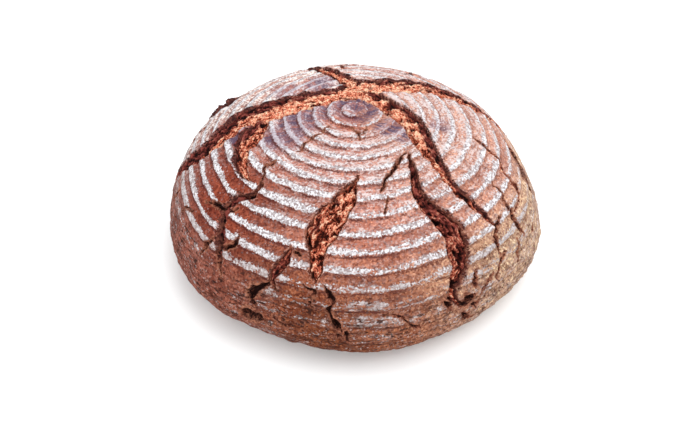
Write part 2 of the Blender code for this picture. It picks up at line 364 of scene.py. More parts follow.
class Form:
    """Turns places on the crust into points, from the loaf's overall shape."""

    def __init__(self, shape):
        radius = shape.diameter / 2
        waist = shape.waist
        dome = shape.height - waist
        turn = np.linspace(0, math.pi / 2, OUTLINE_STEPS)
        dome_r = radius * np.sin(turn) ** (2 / shape.shoulder)
        dome_z = waist + dome * np.cos(turn) ** (2 / shape.crown)
        foot_r = radius - waist * (1 - np.cos(turn))
        foot_z = waist * (1 - np.sin(turn))
        self.radius = radius
        self.r = np.concatenate([dome_r, foot_r[1:], [0]])
        self.z = np.concatenate([dome_z, foot_z[1:], [0]])
        steps = np.hypot(np.diff(self.r), np.diff(self.z)) / MM
        self.reach = np.concatenate([[0], np.cumsum(steps)])
        self.foot = self.reach[-2]
        self.full = self.reach[-1]
        turn = np.radians(np.arange(0, 360, 0.5))
        around = (radius + self.lobe(turn)) * np.array([np.sin(turn), -np.cos(turn)])
        middle = (around.max(1) + around.min(1)) / 2
        base = np.array([*((LOAF_LOW + LOAF_HIGH) / 2)[:2], LOAF_LOW.z])
        self.centre = base - [*middle, 0]

    def lobe(self, bearing):
        return sum(rise * MM * np.cos(waves * (bearing - math.radians(crest)))
                   for waves, rise, crest in LOBES)

    def outline(self, reach):
        return np.interp(reach, self.reach, self.r), np.interp(reach, self.reach, self.z)

    def place(self, bearing, reach):
        """Points and normals at bearings in radians and reaches in millimetres."""
        r, z = self.outline(reach)
        back_r, back_z = self.outline(np.clip(reach - NORMAL_STEP, 0, None))
        ahead_r, ahead_z = self.outline(np.clip(reach + NORMAL_STEP, None, self.full))
        along_r, along_z = ahead_r - back_r, ahead_z - back_z
        length = np.hypot(along_r, along_z)
        out = r + self.lobe(bearing) * (r / self.radius) ** 2
        points = np.stack([out * np.sin(bearing), -out * np.cos(bearing), z], 1) + self.centre
        side = -along_z / length
        normals = np.stack([side * np.sin(bearing), -side * np.cos(bearing), along_r / length], 1)
        return points, normals


def fractal(points, wavelength, octaves=3, shift=0.0, unit=MM):
    """Smooth noise of about -1 to 1 at points in metres, with a wavelength in millimetres."""
    scale = 1 / (wavelength * unit)
    offset = Vector((shift, -shift, 2.7 * shift))
    return np.array([noise.fractal(Vector(p) * scale + offset, 1.0, 2.0, octaves) for p in points])


def shake(points, wavelength, octaves, shift, size):
    """Noise in all three directions, of a size in millimetres."""
    ways = [fractal(points, wavelength, octaves, shift + k) for k in range(3)]
    return np.stack(ways, 1) * size * MM


def smooth(low, high, value):
    t = np.clip((value - low) / (high - low), 0, 1)
    return t * t * (3 - 2 * t)


def between(value, low, high):
    return (value > low) & (value < high)


# --- Tears ---

TearField = namedtuple("TearField", "edge half floor fresh pits char lip scorch crack grain")
Survey = namedtuple("Survey", "bearing reach points normals field")


def fine_cracks():
    return tuple(Tear("crack", (0.1, 0.1), (0, 0), (3, 2.5, 3), (0.2, 0.15, 0.1), (0.5, 0.5, 0.5),
                      1.0, tuple((bearing, reach, 0.8 * width) for bearing, reach, width in route))
                 for route in CRACKS)


def route_line(form, route):
    """Points along a route, with the tangent, left-hand way, half width and distance walked."""
    bearing, reach, width = np.array(route, float).T
    bearing = np.unwrap(np.radians(bearing))
    u, v = reach * np.sin(bearing), -reach * np.cos(bearing)
    knots = np.concatenate([[0], np.cumsum(np.hypot(np.diff(u), np.diff(v)))])
    t = np.arange(0, knots[-1], ROUTE_STEP)
    u, v, half = (catmull(knots, values, t) for values in (u, v, width / 2))
    points, normals = form.place(np.arctan2(u, -v), np.hypot(u, v))
    tangent = np.gradient(points, axis=0)
    tangent /= np.linalg.norm(tangent, axis=1, keepdims=True)
    left = np.cross(normals, tangent)
    return points, tangent, left, np.clip(half, 0.2, None), t


def catmull(knots, values, t):
    """A smooth curve through values at knots."""
    slope = np.gradient(values, knots)
    k = np.clip(np.searchsorted(knots, t, side="right") - 1, 0, len(knots) - 2)
    gap = knots[k + 1] - knots[k]
    f = (t - knots[k]) / gap
    return ((2 * f**3 - 3 * f**2 + 1) * values[k] + (f**3 - 2 * f**2 + f) * gap * slope[k]
            + (3 * f**2 - 2 * f**3) * values[k + 1] + (f**3 - f**2) * gap * slope[k + 1])


def tear_field(form, points, tears):
    """How each point lies to the nearest tear. All distances are in millimetres."""
    n = len(points)
    fresh, pits, char, lip, scorch, crack = (np.zeros(n) for _ in range(6))
    edge = np.full(n, FAR)
    half = np.ones(n)
    floor = np.full(n, 4.0)
    grain = np.zeros((n, 3))
    moved = points + shake(points, 7, 4, 3.1, 1.2)
    jagged = moved + shake(points, 2.6, 2, 6.1, 1.0)
    blotch = fractal(points, 6, 3, 14.0)
    for seed, tear in enumerate(tears):
        line, tangent, left, widths, walked = route_line(form, tear.route)
        low, high = line.min(0) - TEAR_MARGIN * MM, line.max(0) + TEAR_MARGIN * MM
        near = np.flatnonzero(((moved > low) & (moved < high)).all(1))
        placed = jagged if tear.name == "crack" else moved
        for part in np.array_split(near, max(1, len(near) // BATCH)):
            if not len(part):
                continue
            gap = placed[part, None, :] - line[None, :, :]
            nearest = (gap**2).sum(2).argmin(1)
            offset = gap[np.arange(len(part)), nearest]
            along = (offset * tangent[nearest]).sum(1) / MM
            beyond = np.where((nearest == 0) | (nearest == len(line) - 1), np.abs(along), 0)
            lateral = (offset * left[nearest]).sum(1) / MM
            width = widths[nearest]
            progress = walked[nearest] / walked[-1]
            here = np.hypot(lateral, beyond) - width
            on_left = smooth(-1, 1, lateral / width)
            lean = np.clip(lateral / width, -1, 1)
            outer = np.where(lean > 0, tear.floor[0], tear.floor[2])
            floors = tear.floor[1] + (outer - tear.floor[1]) * lean**2
            curl, burn = (on_left * at_left + (1 - on_left) * at_right
                          for at_left, at_right in (tear.lips, tear.scorch))
            curl = curl * smooth(0.3, 2.5, width)
            burn = burn * smooth(0.2, 2, width)
            starts = 1 - 2 * np.interp(progress, STAGES, tear.char)
            uneven = lean + 0.5 * blotch[part] * np.sign(tear.scorch[0] - tear.scorch[1])
            charred = (tear.scorch[0] * smooth(starts - 0.5, starts + 0.5, uneven)
                       + tear.scorch[1] * smooth(starts - 0.5, starts + 0.5, -uneven))
            curl = curl * np.exp(-np.clip(here, 0, None) / LIP_SPREAD)
            lip[part] = np.maximum(lip[part], curl)
            scorch[part] = np.maximum(scorch[part], burn * np.exp(-np.abs(here) / SCORCH_SPREAD))
            wins = here < edge[part]
            chosen = part[wins]
            paleness = np.interp(progress, STAGES, tear.fresh)
            for kept, found in ((edge, here), (half, width), (floor, floors), (char, charred),
                                (fresh, paleness), (grain[:, 0], lateral),
                                (grain[:, 1], walked[nearest] + along)):
                kept[chosen] = found[wins]
            pits[chosen] = tear.pits
            crack[chosen] = tear.name == "crack"
            grain[chosen, 2] = 37.0 * seed
    return TearField(edge, half, floor, fresh, pits, char, lip, scorch, crack, grain)


def survey(form, ball, tears):
    """Where each vertex of a ball lies on the loaf, and how it lies to the tears."""
    bearing, reach = ball_places(form, ball.data)
    points, normals = form.place(bearing, reach)
    return Survey(bearing, reach, points, normals, tear_field(form, points, tears))


# --- Mesh helpers ---


def switch_mode(mode):
    bpy.ops.object.mode_set(mode=mode)


def deselect_all():
    if bpy.context.object and bpy.context.object.mode != "OBJECT":
        switch_mode("OBJECT")
    bpy.ops.object.select_all(action="DESELECT")


def positions(mesh):
    co = np.empty(len(mesh.vertices) * 3)
    mesh.vertices.foreach_get("co", co)
    return co.reshape(-1, 3)


def set_positions(mesh, points):
    mesh.vertices.foreach_set("co", points.ravel())
    mesh.update()


def write_attributes(mesh, columns):
    for name, values in columns.items():
        kind, field = ("FLOAT", "value") if values.ndim == 1 else ("FLOAT_VECTOR", "vector")
        attribute = mesh.attributes.new(name, kind, "POINT")
        attribute.data.foreach_set(field, values.astype(np.float32).ravel())


def ball_places(form, mesh):
    """Bearing and reach of a ball's vertices: the latitude runs from the crown to the base."""
    way = positions(mesh)
    bearing = np.arctan2(way[:, 0], -way[:, 1])
    reach = form.full * np.arctan2(np.hypot(way[:, 0], way[:, 1]), way[:, 2]) / math.pi
    return bearing, reach


def add_ball(name, squares):
    """A block cut into even squares and rounded to a ball."""
    deselect_all()
    bpy.ops.mesh.primitive_cube_add(size=2)
    ball = bpy.context.object
    ball.name = ball.data.name = name
    switch_mode("EDIT")
    bpy.ops.mesh.subdivide(number_cuts=squares - 1)
    switch_mode("OBJECT")
    set_positions(ball.data, np.tan(positions(ball.data) * math.pi / 4))
    cast = ball.modifiers.new("round", "CAST")
    cast.factor = 1.0
    cast.use_radius_as_size = False
    cast.size = 1.0
    bpy.ops.object.modifier_apply(modifier=cast.name)
    return ball


def subdivide_where(ball, vertex_mask):
    """Cuts in four each face that touches a masked vertex."""
    mesh = ball.data
    switch_mode("EDIT")
    bpy.ops.mesh.select_mode(type="FACE")
    bpy.ops.mesh.select_all(action="DESELECT")
    switch_mode("OBJECT")
    chosen = [any(vertex_mask[v] for v in face.vertices) for face in mesh.polygons]
    mesh.polygons.foreach_set("select", chosen)
    switch_mode("EDIT")
    bpy.ops.mesh.subdivide(number_cuts=1)
    switch_mode("OBJECT")


def unwrap_crust(form, mesh, bearing, reach):
    """Two discs: the dome from the crown to the foot, and the underside."""

    def disc(middle, radius, span, distance, flip):
        out = radius / span * distance
        return np.stack([middle + out * np.sin(bearing), middle + flip * out * np.cos(bearing)], 1)

    dome = disc(*DOME_DISC, form.foot, reach, -1)
    under = disc(*BASE_DISC, form.full - form.foot, form.full - reach, 1)
    layer = mesh.uv_layers.new(name="OFBake")
    corners = np.empty(len(mesh.loops), int)
    mesh.loops.foreach_get("vertex_index", corners)
    coords = dome[corners]
    for face in mesh.polygons:
        loops = slice(face.loop_start, face.loop_start + face.loop_total)
        if reach[corners[loops]].mean() > form.foot:
            coords[loops] = under[corners[loops]]
    layer.data.foreach_set("uv", coords.ravel())


def check_piece(mesh):
    """Stops the script if a piece is open or too fine."""
    joined = np.empty(len(mesh.loops), int)
    mesh.loops.foreach_get("edge_index", joined)
    if (np.bincount(joined, minlength=len(mesh.edges)) != 2).any():
        raise RuntimeError(f"{mesh.name} isn't closed")
    triangles = len(mesh.loops) - 2 * len(mesh.polygons)
    if triangles > MOST_TRIANGLES:
        raise RuntimeError(f"{mesh.name} has {triangles} triangles")


def finish_piece(piece, material):
    mesh = piece.data
    check_piece(mesh)
    mesh.materials.clear()
    mesh.materials.append(material)
    mesh.shade_smooth()
    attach(piece, "root")
    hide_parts("loaf")


# --- Crust ---


def ring_number(ridges, flat, reach):
    """The count of coils from the innermost one: whole numbers are crests."""
    u, v = flat
    ring = reach.copy()
    for _ in range(6):
        drift = RING_DRIFT * np.clip(1 - ring / DRIFT_REACH, 0, None) ** 2
        ring = np.hypot(u, v - drift)
    pitch = np.where(ring < CROWN_REACH, ridges.crown_pitch, ridges.flank_pitch) / MM
    return CROWN_RINGS + (ring - CROWN_REACH) / pitch


def facing(bearing, towards, spread):
    """1 on the side of the loaf that faces a bearing, falling to 0 at spread degrees from it."""
    turn = np.degrees(bearing) - towards
    away = np.abs((turn + 180) % 360 - 180)
    return smooth(spread, spread * 0.3, away)


def coil_profile(ring):
    """A coil's print from 0 to 1: a slow rise outwards, a rounded crest and a short steep fall."""
    start = COIL_PRINT[0][0]
    return np.interp((ring - start) % 1.0 + start, *COIL_PRINT)


def ash_and_shade_tone(flat, edge, patchy):
    """How grey each place is, most of all beside the tears: the oven's greying, and painted shade
    under flaps, in creases and in the crown's hollows.
    """
    u, v = flat
    ash_and_shade = np.zeros(len(u))
    for towards, distance, radius, strength in ASH_AND_SHADE:
        turn = math.radians(towards)
        away = np.hypot(u - distance * math.sin(turn), v + distance * math.cos(turn))
        ash_and_shade = np.maximum(ash_and_shade, strength * smooth(radius, radius * 0.4, away))
    beside = 0.75 + 0.6 * np.exp(-np.clip(edge, 0, None) / 6)
    return np.clip(ash_and_shade * beside * (1 + 0.5 * patchy), 0, 1)


def crust_tones(bearing, reach, points, flat, edge):
    """How much flour, dust, tan, bake, and oven grey with painted shade each place on the crust
    has, from 0 to 1.
    """
    patchy = fractal(points, 28, 3, 21.0)
    right = facing(bearing, *RIGHT_FLANK)
    pale = facing(bearing, 105, 75)
    left = facing(bearing, *LEFT_FLANK)
    cream = facing(bearing, -135, 75) * smooth(135, 110, reach)
    back = facing(bearing, 180, 100)
    front = facing(bearing, 12, 50)
    ash_and_shade = ash_and_shade_tone(flat, edge, patchy)

    flour = np.interp(reach, *FLOUR_CURVE)
    flour = flour * (1 - 0.1 * pale) + left * smooth(122, 105, reach) + 0.8 * cream
    flour = flour + 0.2 * front * smooth(100, 118, reach) * smooth(146, 130, reach) + 0.25 * patchy
    front_right = facing(bearing, 50, 30)
    flour = flour + 0.55 * front_right * smooth(84, 98, reach) * smooth(126, 112, reach)
    flour = flour * (1 - 0.5 * ash_and_shade)

    band = np.interp(reach, *BAND_CURVE)
    band = band * (1 + 0.08 * left * smooth(45, 75, reach)) * (1 - 0.1 * pale) * (1 + 0.5 * patchy)

    dust = np.interp(reach, *DUST_CURVE)
    dust = dust * (1 - left * smooth(45, 75, reach)) + 0.22 * pale + 0.2 * back + 0.2 * patchy
    dust = dust + 0.2 * right * smooth(105, 130, reach)
    dust = np.maximum(dust, 1.5 * cream) * (1 - 0.85 * ash_and_shade)

    bake = np.interp(reach, *BAKE_CURVE)
    bake = bake * (1 - 0.9 * right) + 0.75 * left * smooth(40, 80, reach) + 0.1 * patchy
    craze = 0.7 * facing(bearing, 62, 45) * smooth(92, 112, reach) + 0.4 * smooth(112, 135, reach)
    return {"flour": flour, "band": band, "dust": dust, "bake": bake, "ash_and_shade": ash_and_shade, "cream": cream,
            "tan": right * (0.25 + 0.75 * smooth(88, 114, reach)),
            "craze": craze * (1 - 0.4 * right), "right": right, "ruddy": left,
            "worn": smooth(92, 122, reach)}


class LOAF_OT_crust(bpy.types.Operator):
    """Adds the crust, with its ridges, torn lips and furrows"""

    bl_idname = "rye_loaf.crust"
    bl_label = "Crust"

    def execute(self, context):
        settings = context.scene
        form = Form(settings.loaf_form)
        ridges = settings.loaf_ridges
        crust = add_ball("crust", settings.loaf_form.cage_cuts)
        tears = (*TEARS, *fine_cracks())

        # Finer squares above the foot, then along the torn edges, then along the narrow cracks.
        _, reach = ball_places(form, crust.data)
        subdivide_where(crust, reach < form.foot)
        field = survey(form, crust, tears).field
        subdivide_where(crust, between(field.edge, *TORN_EDGE))
        field = survey(form, crust, tears).field
        subdivide_where(crust, between(field.edge, *NARROW_EDGE) & (field.half < NARROW))
        bearing, reach, points, normals, field = survey(form, crust, tears)
        flat = reach * np.sin(bearing), -reach * np.cos(bearing)

        ring = ring_number(ridges, flat, reach)
        ring += 0.10 * fractal(points, 60, 2, 9.0)
        fade = 1 - 0.6 * facing(bearing, *LEFT_FLANK) * smooth(105, 120, reach)
        fade = (1 - smooth(112, 146, reach)) * fade
        ridge = (coil_profile(ring) - 0.5) * fade * (0.8 + 0.4 * fractal(points, 30, 2, 5.0))
        ridge = ridge * ridges.rise / MM * (1 - 0.35 * facing(bearing, *RIGHT_FLANK))

        belly = smooth(100, 140, reach) * (1 - smooth(form.foot - 6, form.foot, reach))
        swell = 0.9 * fractal(points, 45, 3, 1.0)
        grain = 0.22 * fractal(points, 5, 3, 2.0) + 0.12 * fractal(points, 2.2, 2, 4.0)
        lips = field.lip * (1 + 0.7 * fractal(points, 5, 3, 7.0))
        crease = belly * smooth(0.09, 0.0, np.abs(fractal(points, 13, 2, 6.0)))
        crags = belly * (0.4 * fractal(points, 8, 3, 16.0) - 0.7 * crease)
        lift = ridge + swell + grain * (1 + 1.5 * belly) + lips + crags

        # The crust turns down into each tear, and lies flat on the floor under the foot.
        wall = smooth(0.15, -np.clip(0.8 * field.half, 0.2, 0.8), field.edge)
        depth = (field.floor + 3.5) * np.clip(field.half / 2.0, 0.25, 1)
        under = smooth(form.foot - 8, form.foot + 2, reach)
        lift = (lift * (1 - wall) - depth * wall) * (1 - under)
        placed = points + normals * (lift * MM)[:, None]
        placed[:, 2] = np.maximum(placed[:, 2], LOAF_LOW.z)
        set_positions(crust.data, placed)
        unwrap_crust(form, crust.data, bearing, reach)
        girth = np.stack([GIRTH * np.sin(bearing), GIRTH * np.cos(bearing), reach], 1)
        write_attributes(crust.data, {
            "ring": ring, "edge": np.clip(field.edge, -10, 20), "scorch": field.scorch,
            "crack": field.crack, "rubble": 1.4 * np.clip(field.half - 1.2, 0, 2.0),
            "belly": belly, "crease": crease, "girth": girth,
            **crust_tones(bearing, reach, points, flat, field.edge)})
        finish_piece(crust, crust_material(settings.loaf_crust, shared_groups()))
        return {"FINISHED"}


# --- Crumb ---


class LOAF_OT_crumb(bpy.types.Operator):
    """Adds the crumb, which fills the loaf and shows where the crust has torn"""

    bl_idname = "rye_loaf.crumb"
    bl_label = "Crumb"

    def execute(self, context):
        settings = context.scene
        form = Form(settings.loaf_form)
        crumb = add_ball("crumb", CRUMB_SQUARES)
        for _ in range(CRUMB_CUTS):
            subdivide_where(crumb, survey(form, crumb, TEARS).field.edge < 0.8)
        bearing, reach, points, normals, field = survey(form, crumb, TEARS)

        string = field.pits
        fibre = 1 - 2.2 * np.abs(fractal(field.grain * [1 / 1.5, 1 / 5.0, 1], 1.0, 3, 5.0, 1.0))
        fibre = fibre * (0.4 + string)
        holes = fractal(field.grain * [1 / 3.4, 1 / 6.5, 1], 1.0, 2, 8.0, 1.0)
        holes = smooth(0.05, 0.42, holes) * field.pits * smooth(0.3, -1.2, field.edge)
        lumps = fractal(points, 2.4, 4, 11.0) * (1 - 0.6 * string)
        small = fractal(points, 1.1, 2, 12.0)
        pores = np.array([noise.voronoi(Vector(p) / (1.9 * MM))[0][0] for p in points])
        pores = smooth(0.42, 0.1, pores)
        clods = field.char * fractal(points, 6.5, 3, 17.0)

        inside = smooth(0.6, -0.8, field.edge)
        rough = np.clip(field.half / 3, 0.4, 1)
        relief = 0.7 * lumps + 1.3 * clods + 0.5 * fibre + 0.3 * small - 0.6 * pores - 3.0 * holes
        lift = (relief * rough - field.floor - 0.6 * field.char) * inside - 8.0 * (1 - inside)
        set_positions(crumb.data, points + normals * (lift * MM)[:, None])
        unwrap_crust(form, crumb.data, bearing, reach)
        # How high the crumb stands; the finish paints it pale as light where raised, and dark as
        # shade in the pores and holes.
        high = 0.47 + 0.45 * lumps + 0.6 * clods + 0.3 * (fibre - 0.3) + 0.25 * small
        high = high - 0.4 * pores - holes
        write_attributes(crumb.data, {
            "high": np.clip(high, 0, 1), "fresh": field.fresh, "char": field.char,
            "grain": field.grain})
        finish_piece(crumb, crumb_material(settings.loaf_crumb, shared_groups()))
        return {"FINISHED"}


# --- Materials ---


class Nodes:
    """Adds nodes to a tree and links them, so that a finish reads as a list of steps."""

    def __init__(self, tree):
        self.tree = tree

    def add(self, kind, settings=None, **inputs):
        node = self.tree.nodes.new(kind)
        for name, value in (settings or {}).items():
            setattr(node, name, value)
        for name, value in inputs.items():
            self.feed(node, name, value)
        return node

    def feed(self, node, name, value):
        """Links or sets the input with a name or, as in i0, a number. A colour has three parts."""
        numbered = name[0] == "i" and name[1:].isdigit()
        socket = node.inputs[int(name[1:]) if numbered else name.replace("_", " ")]
        if isinstance(value, bpy.types.NodeSocket):
            self.tree.links.new(value, socket)
        elif socket.type == "RGBA":
            socket.default_value = (*value, 1.0)
        else:
            socket.default_value = value

    def math(self, operation, a, b=0.0, clamp=False):
        node = self.add("ShaderNodeMath", {"operation": operation, "use_clamp": clamp}, i0=a, i1=b)
        return node.outputs[0]

    def chain(self, operation, values, clamp=False):
        total, *others = values
        for k, value in enumerate(others, 1):
            total = self.math(operation, total, value, clamp and k == len(others))
        return total

    def plus(self, *values):
        return self.chain("ADD", values)

    def times(self, *values, clamp=False):
        return self.chain("MULTIPLY", values, clamp)

    def minus(self, a, b):
        return self.math("SUBTRACT", a, b)

    def less(self, whole, value, share):
        """A whole, less a share of a value."""
        return self.minus(whole, self.times(value, share))

    def sway(self, value, share):
        """Turns noise about 0.5 into noise about 0."""
        return self.times(self.minus(value, 0.5), share)

    def mix(self, share, a, b, blend="MIX"):
        node = self.add("ShaderNodeMix", {"data_type": "RGBA", "blend_type": blend},
                        i0=share, i6=a, i7=b)
        return node.outputs[2]

    def shade(self, share, tone, factor):
        """Multiplies a tone by a colour, by a share from 0 to 1."""
        return self.mix(share, tone, self.mix(1.0, tone, factor, "MULTIPLY"))

    def step(self, value, low, high):
        """0 at low, 1 at high, eased between."""
        node = self.add("ShaderNodeMapRange", {"interpolation_type": "SMOOTHSTEP"}, Value=value,
                        From_Min=low, From_Max=high)
        return node.outputs[0]

    def waves(self, where, scale=1.0, detail=2.0, roughness=0.5, output="Fac"):
        node = self.add("ShaderNodeTexNoise", Vector=where, Scale=scale, Detail=detail,
                        Roughness=roughness)
        return node.outputs[output]

    def noise(self, where, wavelength, detail=3.0):
        """Noise about 0.5, with a wavelength in millimetres."""
        return self.waves(where, 1 / (wavelength * MM), detail, 0.55)

    def drawn(self, name, scale, detail=3.0):
        """Noise drawn out along the axes of a vector attribute, by its waves per millimetre."""
        drawn = self.add("ShaderNodeVectorMath", {"operation": "MULTIPLY"},
                         i0=self.attribute(name, "Vector"), i1=scale)
        return self.waves(drawn.outputs[0], detail=detail)

    def group(self, tree, **inputs):
        return self.add("ShaderNodeGroup", {"node_tree": tree}, **inputs).outputs

    def attribute(self, name, output="Fac"):
        return self.add("ShaderNodeAttribute", {"attribute_name": name}).outputs[output]

    def place(self):
        return self.add("ShaderNodeTexCoord").outputs["Object"]

    def finish(self, shader, tone, roughness, gloss, height, distance):
        """Feeds the shader: its colour, its dull gloss and its bumps, of a distance in metres."""
        bump = self.add("ShaderNodeBump", Height=height, Distance=distance, Strength=0.9)
        self.feed(shader, "Base Color", tone)
        self.feed(shader, "Roughness", roughness)
        self.feed(shader, "Specular IOR Level", gloss)
        self.feed(shader, "Normal", bump.outputs["Normal"])


def new_finish(name):
    """An empty material with its shader."""
    material = bpy.data.materials.new(name)
    material.use_nodes = True
    nodes = Nodes(material.node_tree)
    return material, nodes, material.node_tree.nodes["Principled BSDF"]


def new_group(name, inputs, outputs):
    """An empty node group, its steps, its incoming sockets and the node that its results go to."""
    tree = bpy.data.node_groups.new(name, "ShaderNodeTree")
    for in_out, sockets in (("INPUT", inputs), ("OUTPUT", outputs)):
        for label, kind in sockets.items():
            tree.interface.new_socket(label, in_out=in_out, socket_type="NodeSocket" + kind)
    nodes = Nodes(tree)
    return tree, nodes, nodes.add("NodeGroupInput").outputs, nodes.add("NodeGroupOutput")


def specks_group():
    """Three random values for each grain, and fine noise of the same size."""
    tree, n, given, result = new_group(
        "bread_specks", {"Vector": "Vector", "Size": "Float"},
        {"First": "Float", "Second": "Float", "Third": "Float", "Fine": "Float"})
    scale = n.math("DIVIDE", 1 / MM, given["Size"])
    grains = n.add("ShaderNodeTexVoronoi", Vector=given["Vector"], Scale=scale)
    split = n.add("ShaderNodeSeparateColor", Color=grains.outputs["Color"])
    for k, name in enumerate(("First", "Second", "Third")):
        n.feed(result, name, split.outputs[k])
    n.feed(result, "Fine", n.waves(given["Vector"], scale, roughness=0.6))
    return tree


def scorch_group():
    """Burns a colour to dark, purplish brown specks."""
    tree, n, given, result = new_group(
        "bread_scorch", {"Colour": "Color", "Amount": "Float", "Speck": "Float"},
        {"Colour": "Color"})
    darkest, middle, palest = SCORCHED
    dark = n.mix(n.step(given["Speck"], 0.2, 0.45), darkest, middle)
    dark = n.mix(n.step(given["Speck"], 0.5, 0.85), dark, palest)
    burnt = n.times(given["Amount"], n.less(1.4, given["Speck"], 0.7))
    n.feed(result, "Colour", n.mix(n.step(burnt, 0.1, 0.8), given["Colour"], dark))
    return tree


def shared_groups():
    """The node groups that both finishes use, made once."""
    makers = {"specks": ("bread_specks", specks_group), "scorch": ("bread_scorch", scorch_group)}
    return {key: bpy.data.node_groups.get(name) or make() for key, (name, make) in makers.items()}


def crust_material(tints, groups):
    material, n, shader = new_finish("floured_crust")
    where = n.place()
    first, second, third, fine = n.group(groups["specks"], Vector=where, Size=CRUST_GRAIN)
    small = n.noise(where, 2.6)
    broad = n.noise(where, 14.0)
    edge, crack, rubble, scorch = map(n.attribute, ("edge", "crack", "rubble", "scorch"))
    ring, flour_here, ash_and_shade, worn = map(n.attribute, ("ring", "flour", "ash_and_shade", "worn"))
    belly, right, ruddy = map(n.attribute, ("belly", "right", "ruddy"))

    # Streaks along the coils, and streaks across them where the crust is greyed and painted with
    # shade.
    split = n.add("ShaderNodeSeparateXYZ", Vector=where)
    x, y = split.outputs[0], split.outputs[1]
    lengthwise = n.add("ShaderNodeCombineXYZ", X=n.times(x, 150.0), Y=n.times(y, 150.0),
                       Z=n.times(ring, 5.5))
    streak = n.waves(lengthwise.outputs[0])
    outward = n.add("ShaderNodeVectorMath", {"operation": "NORMALIZE"},
                    i0=n.add("ShaderNodeCombineXYZ", X=x, Y=y).outputs[0])
    spread = n.waves(outward.outputs[0], 9.0)

    # Where a place lies on its coil: 0 at the crest's outer edge, growing outwards to the next's.
    wobble = n.plus(n.sway(n.noise(where, 9.0, 2.0), 0.3), n.sway(small, 0.12), n.sway(fine, 0.3))
    phase = n.math("FRACT", n.plus(ring, n.plus(wobble, 99.86)))

    # Baked skin, between the bands of flour, with painted shade in the coils' hollows and along
    # their grooves.
    skin = n.mix(n.attribute("tan"), tints.skin, tints.tan)
    baked = n.mix(ruddy, tints.baked, n.mix(worn, tints.ruddy, tints.ruddy_belly))
    skin = n.mix(n.attribute("bake"), skin, baked)
    mottle = n.plus(n.times(small, 0.5), n.times(broad, 0.5))
    dull, bright = (n.mix(1.0, skin, factor, "MULTIPLY") for factor in MOTTLE)
    skin = n.mix(n.step(mottle, 0.38, 0.62), dull, bright)
    skin = n.shade(n.times(n.step(first, 0.6, 0.95), n.less(0.75, ruddy, 0.3)), skin, GLINT)
    skin = n.shade(n.times(n.step(first, 0.35, 0.1), 0.8), skin, FLECK)
    # Oven grey and painted shade, laid heavier in each coil's hollow as painted shade.
    greyed = n.times(ash_and_shade, n.plus(0.5, n.step(spread, 0.4, 0.6)), clamp=True)
    hollow_shade = n.plus(n.times(n.step(phase, 0.85, 0.45), 0.6), 0.38)
    skin = n.mix(n.times(greyed, hollow_shade), skin, tints.ash_and_shade)

    ridged = n.step(n.math("MAXIMUM", flour_here, ash_and_shade), 0.02, 0.4)
    # A thin painted shadow just outside each crest, where the ridge falls steeply; broken into
    # streaks and weaker on the right flank.
    groove_shade = n.times(n.step(phase, 0.2, 0.06), n.step(phase, 0.0, 0.03))
    groove_shade = n.times(groove_shade, n.plus(n.step(streak, 0.62, 0.42), 0.35), clamp=True)
    groove_shade = n.times(groove_shade, n.less(0.9, right, 0.5))
    skin = n.mix(n.times(groove_shade, ridged), skin, GROOVE_SHADE)

    # Dust thins out from each crest towards the coil inside it.
    dust = n.times(n.attribute("dust"), n.plus(n.times(n.step(phase, 0.2, 0.8), 0.7), 0.3),
                   n.plus(0.35, n.times(n.step(second, 0.3, 0.9), 1.2)),
                   n.plus(0.5, n.step(streak, 0.45, 0.6)), n.less(1.0, groove_shade, 0.7), clamp=True)
    pale = n.mix(n.attribute("cream"), tints.dust, tints.cream)
    skin = n.mix(dust, skin, n.mix(ash_and_shade, pale, ASH_AND_SHADE_DUST))

    # Flour on the crests, broken into streaks and grains.
    inner = n.minus(n.plus(phase, n.attribute("band")), 1.0)
    band = n.times(n.step(inner, -0.12, 0.1), n.step(phase, 1.0, 0.95))
    amount_here = n.minus(n.plus(n.sway(streak, 2.4), 0.3), n.times(worn, 0.3))
    amount_here = n.plus(amount_here, n.times(flour_here, 0.95))
    flour = n.step(n.less(n.times(band, amount_here), third, 0.75), -0.1, 0.25)
    white = n.mix(n.step(second, 0.1, 0.8), tints.thin_flour, tints.flour)
    white = n.mix(n.times(ash_and_shade, 0.8), white, ASH_AND_SHADE_FLOUR)
    white = n.mix(n.times(worn, 0.6), white, WORN_FLOUR)
    skin = n.mix(flour, skin, white)

    # Lines, loose grains and burnt grains on the belly.
    rows = n.drawn("girth", (0.07, 0.07, 0.75))
    lined = n.times(belly, n.less(0.8, right, 0.35), n.step(rows, 0.48, 0.38))
    skin = n.shade(lined, skin, BELLY_LINE)
    loose = n.times(n.step(third, 0.72, 0.95), belly,
                    n.plus(n.times(n.step(rows, 0.5, 0.6), 0.8), 0.12))
    skin = n.mix(loose, skin, LOOSE_GRAIN)
    skin = n.mix(n.times(n.step(third, 0.12, 0.04), belly, 0.8), skin, CHARRED_GRAIN)

    # Fine crazing, with painted shade in the belly's creases and pocks.
    warped = n.add("ShaderNodeVectorMath", {"operation": "MULTIPLY_ADD"},
                   i0=n.waves(where, 1 / (4 * MM), output="Color"), i1=(5 * MM,) * 3, i2=where)
    cells = n.add("ShaderNodeTexVoronoi", {"feature": "DISTANCE_TO_EDGE"},
                  Vector=warped.outputs[0], Scale=1 / (7 * MM))
    line = n.plus(cells.outputs["Distance"], n.sway(fine, 0.12))
    lines = n.times(n.step(line, 0.07, 0.0), n.step(n.noise(where, 10.0, 1.0), 0.46, 0.56),
                    n.attribute("craze"))
    # Painted shade along the belly's creases.
    crease_shade = n.times(n.attribute("crease"), n.step(fine, 0.35, 0.6), 0.8)
    lines = n.math("MAXIMUM", lines, crease_shade)
    skin = n.mix(n.times(lines, 0.8), skin, CRAZE_AND_CREASE_SHADE)
